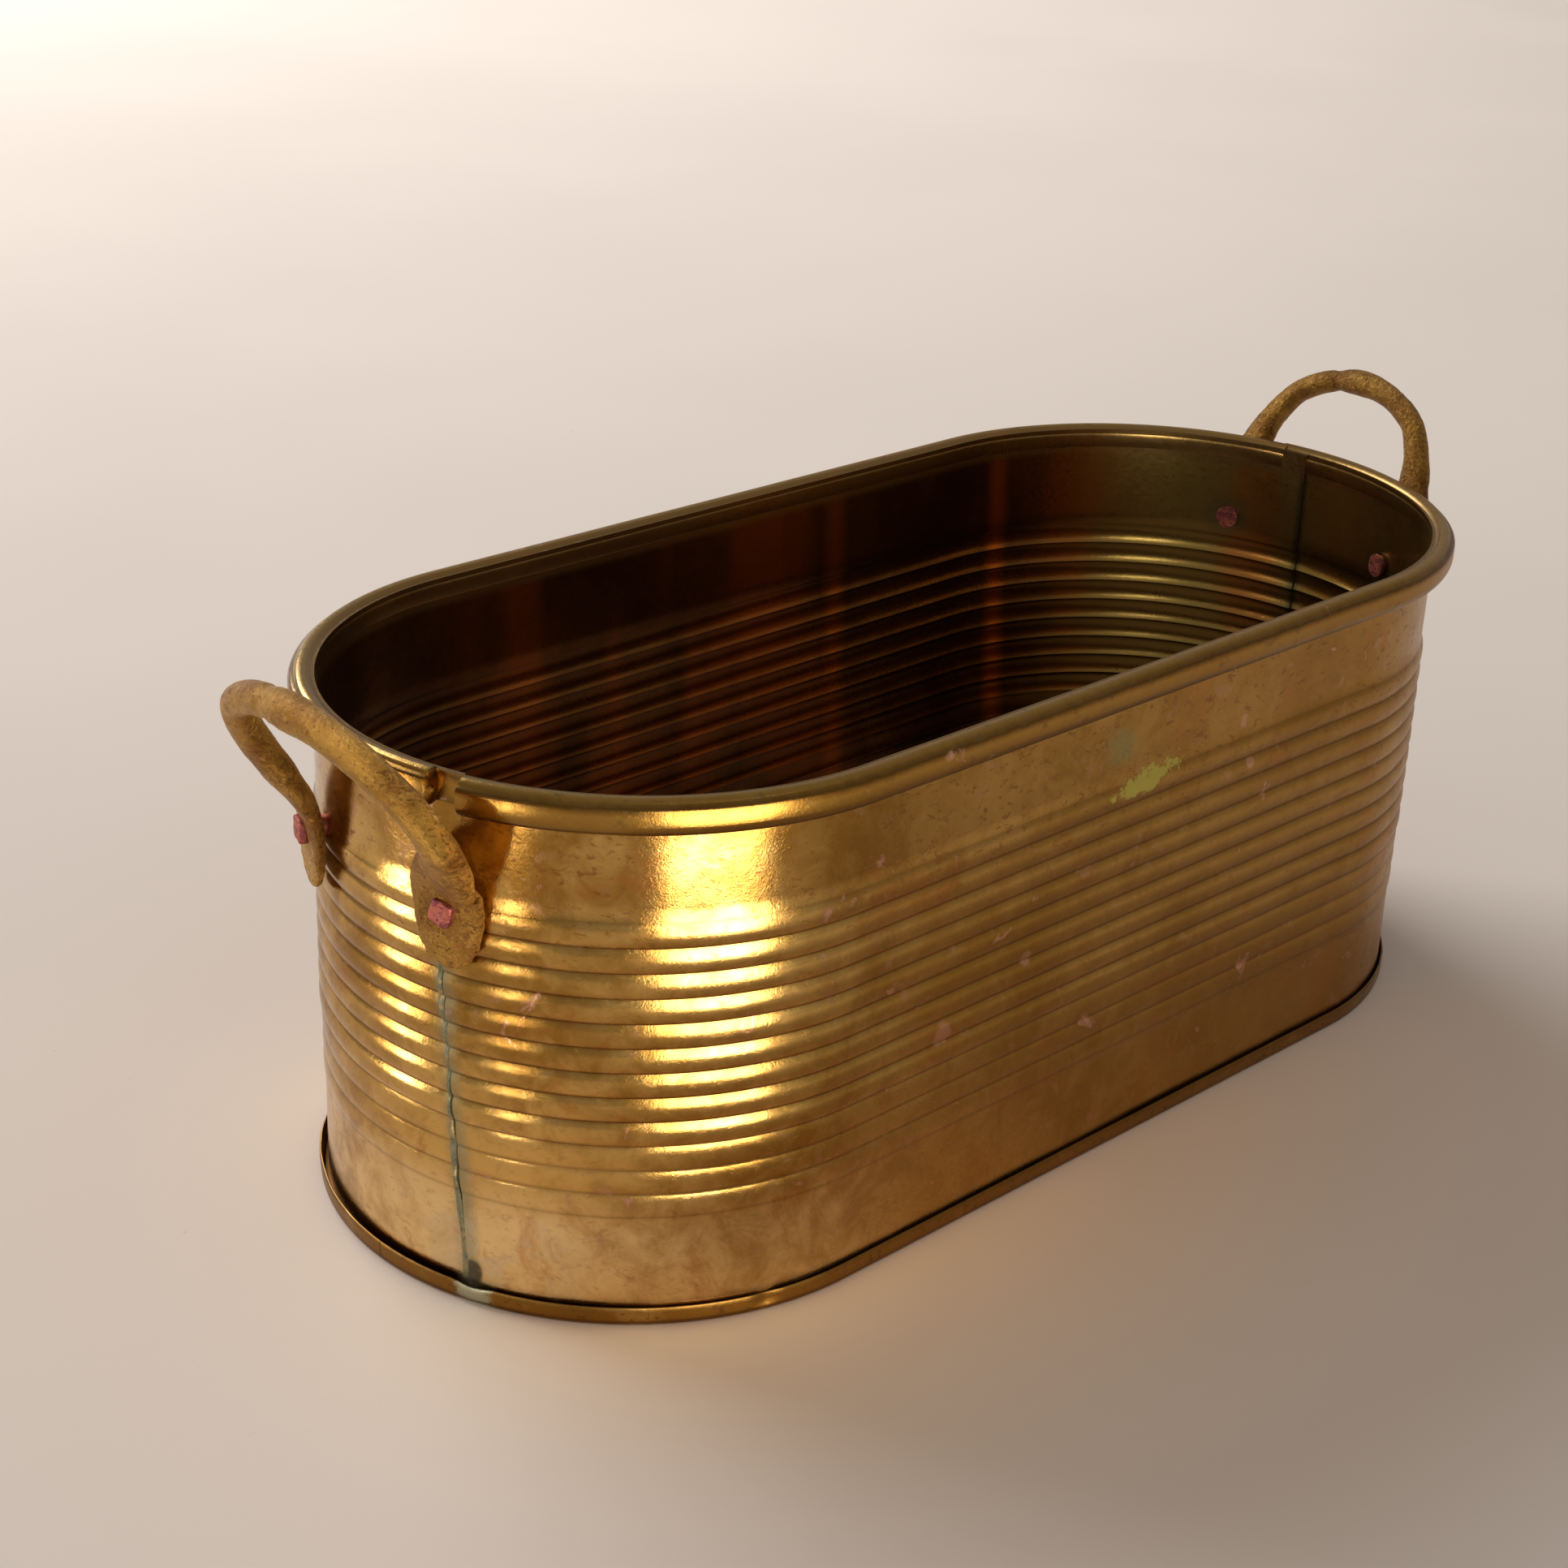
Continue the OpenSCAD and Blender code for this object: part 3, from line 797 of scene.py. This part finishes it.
class BRASSPOT_OT_wall(bpy.types.Operator):
    """Make the two ribbed wall sheets with their rolled edge"""

    bl_idname = "brasspot.wall"
    bl_label = "Walls"

    def execute(self, context):
        lap = LAP / ROUND
        wall_piece(
            "front_sheet", "wall_front", 0.0, -1.0,
            (-at_angle(NEAR_SEAM), at_angle(FAR_SEAM)),
            (-at_angle(NEAR_SEAM - RIM_BREAK), at_angle(FAR_SEAM) + 0.6 * MM), SEAM_LEAN)
        wall_piece(
            "back_sheet", "wall_back", -SHEET, 1.0,
            (-at_angle(lap - NEAR_SEAM), at_angle(lap - FAR_SEAM)),
            (-at_angle(-NEAR_SEAM), at_angle(-FAR_SEAM) + 0.6 * MM), -SEAM_LEAN)
        return {"FINISHED"}


def wall_piece(name, node, off, side, sheet_ends, bead_ends, lean):
    sizes = bpy.context.scene.pot_sizes
    outline = sheet_outline(sizes, PAN_T, RIM_TOP - 0.7 * MM, off)
    sheet = run(outline, *sheet_ends, 1.6 * MM, side, "aged_brass", Dents=sizes.dents,
                **{"Flat ends": 1.0, "Start lean": lean, "Lean from": LEAN_TOP})
    bead = run(rolled_outline(off), *bead_ends, 0.8 * MM, side, "aged_brass",
               Dents=sizes.dents, Middle=(off - SHEET + BEAD_HALF, BEAD_MIDDLE, 0.0),
               **{"Round start": 1.0 * MM})
    face_inside(piece(name, [sheet, bead], ["aged_brass", "dark_brass"], [node]))


# ---------- base ----------


class BRASSPOT_OT_base(bpy.types.Operator):
    """Make the base pan with its wavy lip, and the solder round the inside"""

    bl_idname = "brasspot.base"
    bl_label = "Base pan"

    def execute(self, context):
        lip = [(-3.0, PAN_T / MM, 0), (-2.0, PAN_T / MM, 0), (0.0, PAN_T / MM, 0),
               (0.3, 1.0, 0), (0.33, 1.6, 0.2), (0.38, 2.4, 0.6), (0.42, 3.1, 0.9),
               (0.5, 3.5, 1), (0.68, 3.66, 1), (0.88, 3.6, 1), (1.0, 3.35, 1),
               (1.02, 2.7, 0.7), (1.0, 2.0, 0.4), (1.0, 1.2, 0.1), (0.97, 0.6, 0),
               (0.82, 0.25, 0), (0.55, 0.06, 0), (0.2, 0.0, 0), (-2.0, 0.0, 0), (-3.0, 0.0, 0)]
        made = joined_loop("lipped_base", lip, 1.0, 1.2 * MM, "worn_pan_skin",
                           "base_pan")
        crimp(made, outward_place(-93.0 * MM, 2.6 * MM), 3.2 * MM, 0.75 * MM)
        crimp(made, outward_place(-147.5 * MM, 2.6 * MM), 5.0 * MM, -0.55 * MM)
        fillet = [(-1.2, 2.3, 1), (-1.2, 0.75, 0), (-2.8, 0.75, 1), (-2.2, 1.0, 1),
                  (-1.6, 1.6, 1), (-1.2, 2.3, 1)]
        joined_loop("base_solder_run", fillet, 0.6, 2.0 * MM, "tarnished_solder",
                    "base_solder")
        return {"FINISHED"}


def outward_place(along, height):
    """Point on the front half of the wall, a length along from the middle of the front."""
    far = abs(along)
    turn = max(far - STRAIGHT, 0.0) / ROUND
    x = math.copysign(min(far, STRAIGHT) + ROUND * math.sin(turn), along)
    return Vector((x, -ROUND * math.cos(turn), height))


def joined_loop(name, outline, sway_share, step, finish_name, node):
    """An outline in mm run along both halves, which are sewn into one loop."""
    # known fault: piece() closes the pan's two middle openings wrongly, so its floor is missing
    outline = [(x * MM, z * MM, sway * sway_share) for x, z, sway in outline]
    half, sway = at_angle(0.0), bpy.context.scene.pot_sizes.lip_sway
    halves = [run(outline, -half, half, step, side, finish_name, Sway=sway)
              for side in (-1.0, 1.0)]
    whole = bmesh.new()
    for mesh in halves:
        whole.from_mesh(mesh)
        bpy.data.meshes.remove(mesh)
    bmesh.ops.remove_doubles(whole, verts=whole.verts, dist=4e-6)
    merged = bpy.data.meshes.new(name + "_whole")
    whole.to_mesh(merged)
    whole.free()
    return piece(name, [merged], [finish_name], [node])


def crimp(made, place, reach, depth):
    """Pushes the lip in towards the wall round a place."""
    for vertex in made.data.vertices:
        gap = (vertex.co - place).length
        if gap < reach and vertex.co.z > 0.9 * MM:
            share = 0.5 + 0.5 * math.cos(math.pi * gap / reach)
            way = outward(vertex.co)
            vertex.co -= way * depth * share
            vertex.co.z -= abs(depth) * 0.5 * share


# ---------- solder down the seams ----------


def seam_strip(name, node, end, angle, lean, width):
    """A ragged run of solder that bridges the step beside a seam."""
    sizes = bpy.context.scene.pot_sizes
    low, high = (corner.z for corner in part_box(node))
    rows = int((high - low) / (0.6 * MM))
    across, sunk = 8, -0.45 * MM
    count = across * 2
    grid = bmesh.new()
    table = []
    for i in range(rows + 1):
        z = low + (high - low) * i / rows
        fade = min(1.0, i / 3, (rows - i) / 3)
        wide = width * (0.75 + 0.9 * noise.noise(Vector((z * 95, end * 3.1, 0.4))))
        shift = 1.1 * MM * noise.noise(Vector((z * 60, end * 5.7, 2.2)))
        line = []
        for j in range(count):
            front = j < across
            u = (j if front else count - 1 - j) / (across - 1) * 2 - 1
            rough = 0.5 + noise.noise(Vector((z * 420, u * 1.7 + end, 7.1)))
            lift = 0.05 * MM + (0.40 + 0.22 * rough) * MM * (1 - u * u) * fade if front else 0.0
            turn = angle + (shift + wide * u - lean * max(LEAN_TOP - z, 0.0)) / ROUND
            reach = ROUND + rib_offset(z, sizes) + sunk + lift
            x = end * (STRAIGHT + reach * math.cos(turn))
            line.append(grid.verts.new((x, reach * math.sin(turn), z)))
        table.append(line)
    for low_line, high_line in zip(table, table[1:]):
        for j in range(count):
            k = (j + 1) % count
            grid.faces.new((low_line[j], low_line[k], high_line[k], high_line[j]))
    for line in (table[0], table[-1]):
        grid.faces.new(line)
    mesh = bpy.data.meshes.new(name + "_strip")
    grid.to_mesh(mesh)
    grid.free()
    piece(name, [mesh], ["tarnished_solder"], [node])


class BRASSPOT_OT_solder(bpy.types.Operator):
    """Make the ragged solder down the two lap seams"""

    bl_idname = "brasspot.solder"
    bl_label = "Seam solder"

    def execute(self, context):
        seam_strip("near_seam_solder", "solder_seam_near", -1, NEAR_SEAM + 0.012, SEAM_LEAN,
                   0.8 * MM)
        seam_strip("far_seam_solder", "solder_seam_far", 1, FAR_SEAM + 0.012, 0.0, 0.8 * MM)
        return {"FINISHED"}


# ---------- handles ----------


class HandleShape:
    """Sizes of one handle, as in the frame: lengths in metres, angles in radians."""

    def __init__(self, end, rivets, height, rod, half_wide, rise, lean, tilt):
        self.end, self.height, self.rod = end, height * MM, rod * MM
        self.rivets = [math.radians(a) for a in rivets]
        self.half_wide, self.rise = half_wide * MM, rise * MM
        self.lean, self.tilt = math.radians(lean), math.radians(tilt)


HANDLES = {
    "handle_near": HandleShape(-1, (-18.5, 20.5), 79.9, 6.0, 28.0, 40.8, 29.0, 7.5),
    "handle_far": HandleShape(1, (-23.0, 21.0), 85.4, 5.2, 23.0, 38.2, 23.5, 1.5),
}
FOOT_MID = ROUND + 1.9 * MM          # middle of a foot's thickness
FOOT_DROP, LEG_ROOT, LEG_SHARE = 11.4 * MM, 7.4 * MM, 0.49
FOOT_ANGLE = math.radians(21)
FOOT_T = 2.6 * MM
EIGHTH = math.radians(45)
BEND_REACH, BEND_ROUNDS = 46 * MM, 360   # the bends above the feet are softened the longest
ALL_ROUNDS, LAST_ROUNDS = 90, 12


def loop_point(shape, y, z):
    """A point of a loop's own plane, in the pot's frame but with X outwards."""
    t = y * math.sin(shape.tilt) + z * math.cos(shape.tilt)
    s = y * math.cos(shape.tilt) - z * math.sin(shape.tilt)
    base = STRAIGHT + FOOT_MID * math.cos(FOOT_ANGLE)
    return Vector((base + t * math.sin(shape.lean), s, shape.height + t * math.cos(shape.lean)))


def centre_line(shape):
    """Points down one foot, round the loop and down the other foot."""
    legs = shape.rise * LEG_SHARE
    bend = math.tan(math.radians(22.5))
    shoulder = (shape.rise - legs - shape.half_wide * bend) / (1 - bend)
    inset = shape.half_wide - shoulder
    crown = shoulder + inset * math.sqrt(2)

    def bow(y, z, radius, angles):
        return [(y + radius * math.cos(a), z + radius * math.sin(a)) for a in angles]

    arch = bow(inset, legs, shoulder, [EIGHTH * k / 12 for k in range(13)])
    arch += bow(0.0, legs - inset, crown, [math.radians(45 + 90 * k / 24) for k in range(1, 24)])
    arch += bow(-inset, legs, shoulder, [math.radians(135 + 45 * k / 12) for k in range(13)])

    def foot(angle, level, out):
        reach = FOOT_MID + out
        return Vector((STRAIGHT + reach * math.cos(angle), reach * math.sin(angle),
                       shape.height + level))

    def down(angle):
        lift = (shape.rod - FOOT_T) / 2
        return [foot(angle, LEG_ROOT, lift), foot(angle, LEG_ROOT * 0.4, lift * 0.25),
                foot(angle, 0.0, 0.0), foot(angle, -FOOT_DROP * 0.5, 0.0),
                foot(angle, -FOOT_DROP, 0.0)]

    front, back = shape.rivets
    loop = [loop_point(shape, y, z) for y, z in reversed(arch)]
    return list(reversed(down(front))) + loop + down(back)


def lengths_along(points):
    lengths = [0.0]
    for a, b in zip(points, points[1:]):
        lengths.append(lengths[-1] + (b - a).length)
    return lengths


def softened(line):
    inner = [(a + 2 * b + c) / 4 for a, b, c in zip(line, line[1:], line[2:])]
    return [line[0], *inner, line[-1]]


def even_points(points, step):
    """The same line with points at even steps, softened."""
    lengths = lengths_along(points)
    count = int(lengths[-1] / step)
    line = []
    at = 0
    for k in range(count + 1):
        want = lengths[-1] * k / count
        while at < len(points) - 2 and lengths[at + 1] < want:
            at += 1
        share = (want - lengths[at]) / (lengths[at + 1] - lengths[at])
        line.append(points[at].lerp(points[at + 1], min(max(share, 0.0), 1.0)))
    bend = int(BEND_REACH / step)
    firm = list(line)
    for turn in range(BEND_ROUNDS):
        softer = softened(line)
        line = softer if turn < ALL_ROUNDS else softer[:bend] + line[bend:-bend] + softer[-bend:]
    # the feet stay flat against the wall
    for k, point in enumerate(line):
        from_tip = min(k, count - k) * step / MM
        share = between([(0.0, 0.0), (13.0, 0.0), (27.0, 1.0)], from_tip)
        line[k] = firm[k].lerp(point, share)
    for _ in range(LAST_ROUNDS):
        line = softened(line)
    return line


def between(stops, place):
    """Value at a place on a line of (place, value) stops, eased between them."""
    for (a, low), (b, high) in zip(stops, stops[1:]):
        if place <= b:
            share = min(max((place - a) / (b - a), 0.0), 1.0)
            share = share * share * (3 - 2 * share)
            return low + (high - low) * share
    return stops[-1][1]


def build_handle(node):
    shape = HANDLES[node]
    line = even_points(centre_line(shape), 0.55 * MM)
    line = [Vector((p.x * shape.end, p.y, p.z)) for p in line]
    lengths = lengths_along(line)
    total = lengths[-1]
    rod = shape.rod / MM / 2
    wide = [(0.0, 0.3), (0.6, 2.4), (2.0, 4.4), (5.0, 6.0), (10.0, 7.0), (15.0, 7.1),
            (20.0, 6.5), (25.0, 5.5), (31.0, rod * 1.42), (38.0, rod * 1.12), (46.0, rod)]
    thick = [(0.0, 0.25), (0.7, 0.8), (2.5, 1.05), (9.0, 1.3), (14.0, 1.55), (20.0, 2.3),
             (26.0, rod * 0.95), (34.0, rod)]
    square = [(0.0, 0.75), (4.0, 0.52), (14.0, 0.56), (22.0, 0.85), (30.0, 1.0)]
    rough = [(0.0, 3.0), (16.0, 2.0), (30.0, 1.5), (44.0, 0.9)]
    crown = (total * 0.5, 7.0 * MM)
    rows = {"side": [], "out": [], "half_wide": [], "half_thick": [], "square": [], "rough": []}
    plane = Vector((math.cos(shape.lean) * shape.end, 0, -math.sin(shape.lean)))
    for k, point in enumerate(line):
        before, after = line[max(k - 1, 0)], line[min(k + 1, len(line) - 1)]
        way = (after - before).normalized()
        from_tip = min(lengths[k], total - lengths[k]) / MM
        share = between([(0.0, 0.0), (14.0, 0.0), (36.0, 1.0)], from_tip)
        out = outward(point).lerp(plane, share)
        out = (out - way * out.dot(way)).normalized()
        # a worn groove beside the thicker crown
        off = (lengths[k] - crown[0]) / crown[1]
        more = 0.45 * math.exp(-(off * 1.6) ** 2) - 0.35 * math.exp(-((off - 0.9) * 5) ** 2)
        rows["side"].append(way.cross(out).normalized())
        rows["out"].append(out)
        rows["half_wide"].append((between(wide, from_tip) + more) * MM)
        rows["half_thick"].append((between(thick, from_tip) + more) * MM)
        rows["square"].append(between(square, from_tip))
        rows["rough"].append(between(rough, from_tip))
    mesh = grow(tree_of(bar_tree), line, {
        "Section points": 41, "Pitting": bpy.context.scene.pot_sizes.pitting,
        "Pit scale": 900.0, "Finish": finish_of("pitted_skin")}, rows)
    piece(node + "_casting", [mesh], ["pitted_skin"], [node], sharp=60.0)


class BRASSPOT_OT_handles(bpy.types.Operator):
    """Make the two cast loop handles with their flattened feet"""

    bl_idname = "brasspot.handles"
    bl_label = "Handles"

    def execute(self, context):
        for node in HANDLES:
            build_handle(node)
        return {"FINISHED"}


class BRASSPOT_OT_rivets(bpy.types.Operator):
    """Make the four rough copper rivets"""

    bl_idname = "brasspot.rivets"
    bl_label = "Rivets"

    def execute(self, context):
        points, turns = [], []
        for k, node in enumerate(RIVETS):
            place = middle(node)
            way = outward(place)
            points.append(Vector((math.copysign(STRAIGHT, place.x), 0, place.z)) + way * ROUND)
            turns.append((Matrix.Rotation(math.atan2(way.y, way.x), 3, "Z")
                          @ Matrix.Rotation(QUARTER, 3, "Y")
                          @ Matrix.Rotation(0.25 * k - 0.3, 3, "Z")).to_euler())
        for node, point, turn in zip(RIVETS, points, turns):
            mesh = grow(tree_of(rivet_tree), [point], {
                "Shank diameter": 4.4 * MM, "Stub side": 4.6 * MM, "Stub height": 1.9 * MM,
                "Inner reach": 1.3 * MM, "Outer reach": 3.1 * MM, "Roughness": 0.6 * MM,
                "Finish": finish_of("rivet_copper")}, {"turn": [tuple(turn)]})
            piece(node + "_copper", [mesh], ["rivet_copper"], [node],
                  closed=False, sharp=35.0)
        return {"FINISHED"}


# ---------- stage ----------

FLOOR_REACH = 40.0
CAMERA_TURN, CAMERA_RISE, CAMERA_ROLL = math.radians(-44.4), math.radians(23.95), 0.039
CAMERA_PLACE = (-0.3872, -0.3585, 0.2916)


def card(name, place, aim, size, power, colour, seen_by_floor=True):
    """A soft light that shows in the brass but not to the camera."""
    lamp = bpy.data.lights.new(name, "AREA")
    lamp.shape, lamp.size, lamp.size_y = "RECTANGLE", size[0], size[1]
    lamp.energy, lamp.color = power, colour
    made = bpy.data.objects.new(name, lamp)
    bpy.context.scene.collection.objects.link(made)
    made.location = place
    made.rotation_euler = (Vector(aim) - Vector(place)).to_track_quat("-Z", "Y").to_euler()
    made.visible_camera = False
    made.visible_diffuse = seen_by_floor


class BRASSPOT_OT_stage(bpy.types.Operator):
    """Lay the floor and set up the lights and the camera"""

    bl_idname = "brasspot.stage"
    bl_label = "Stage"

    def execute(self, context):
        scene = context.scene
        mesh = bpy.data.meshes.new("floor")
        far = FLOOR_REACH
        corners = [(-far, -far, 0), (far, -far, 0), (far, far, 0), (-far, far, 0)]
        mesh.from_pydata(corners, [], [(0, 1, 2, 3)])
        mesh.materials.append(finish_of("pale_floor"))
        floor = bpy.data.objects.new("floor", mesh)
        scene.collection.objects.link(floor)
        sky = bpy.data.worlds.new("studio")
        sky.use_nodes = True
        back = sky.node_tree.nodes["Background"]
        back.inputs["Color"].default_value = (1.0, 0.92, 0.84, 1)
        back.inputs["Strength"].default_value = 0.36
        scene.world = sky
        scene.view_settings.view_transform = "Standard"
        card("big_window", (0.1, 2.4, 1.5), (0.8, 1.1, 0), (2.4, 1.4), 70, (1.0, 0.99, 0.98))
        card("front_panel", (-0.140, -0.20, 0.09), (-0.105, -0.054, 0.06), (0.11, 0.19), 0.75,
             (1.0, 0.95, 0.82), False)
        card("end_panel", (-0.33, 0.13, 0.08), (-0.135, -0.008, 0.07), (0.05, 0.2), 0.4,
             (1.0, 0.96, 0.88), False)
        card("thin_panel", (-0.36, -0.065, 0.07), (-0.128, -0.031, 0.08), (0.012, 0.16), 0.1,
             (1.0, 0.96, 0.88), False)
        turn, rise, roll = CAMERA_TURN, CAMERA_RISE, CAMERA_ROLL
        back_way = Vector((math.sin(turn) * math.cos(rise), -math.cos(turn) * math.cos(rise),
                           math.sin(rise)))
        right = (-back_way).cross(Vector((0, 0, 1))).normalized()
        up = right.cross(-back_way)
        tilted = right * math.cos(roll) + up * math.sin(roll)
        upright = up * math.cos(roll) - right * math.sin(roll)
        lens = bpy.data.cameras.new("camera")
        lens.lens, lens.sensor_width = 63.14, 36.0
        lens.clip_start, lens.clip_end = 0.01, 100.0
        camera = bpy.data.objects.new("camera", lens)
        scene.collection.objects.link(camera)
        pose = Matrix((tilted, upright, back_way)).transposed().to_4x4()
        pose.translation = CAMERA_PLACE
        camera.matrix_world = pose
        scene.camera = camera
        return {"FINISHED"}


class BRASSPOT_PT_panel(bpy.types.Panel):
    bl_idname = "BRASSPOT_PT_panel"
    bl_label = "Brass planter pot"
    bl_space_type = "VIEW_3D"
    bl_region_type = "UI"
    bl_category = "Brass Pot"

    def draw(self, context):
        for group in (context.scene.pot_sizes, context.scene.pot_colours):
            column = self.layout.column()
            for name in group.bl_rna.properties.keys():
                if name not in ("rna_type", "name"):
                    column.prop(group, name)
        for operator in OPERATORS:
            self.layout.operator(operator.bl_idname)


OPERATORS = (BRASSPOT_OT_stage, BRASSPOT_OT_wall, BRASSPOT_OT_base, BRASSPOT_OT_solder,
             BRASSPOT_OT_handles, BRASSPOT_OT_rivets)
CLASSES = (PotSizes, PotColours, *OPERATORS, BRASSPOT_PT_panel)


def register():
    for each in CLASSES:
        bpy.utils.register_class(each)
    bpy.types.Scene.pot_sizes = bpy.props.PointerProperty(type=PotSizes)
    bpy.types.Scene.pot_colours = bpy.props.PointerProperty(type=PotColours)


def unregister():
    del bpy.types.Scene.pot_colours
    del bpy.types.Scene.pot_sizes
    for each in reversed(CLASSES):
        bpy.utils.unregister_class(each)


def main():
    register()
    bpy.ops.brasspot.stage()
    bpy.ops.brasspot.wall()
    bpy.ops.brasspot.base()
    bpy.ops.brasspot.solder()
    bpy.ops.brasspot.handles()
    bpy.ops.brasspot.rivets()


if __name__ == "__main__":
    main()
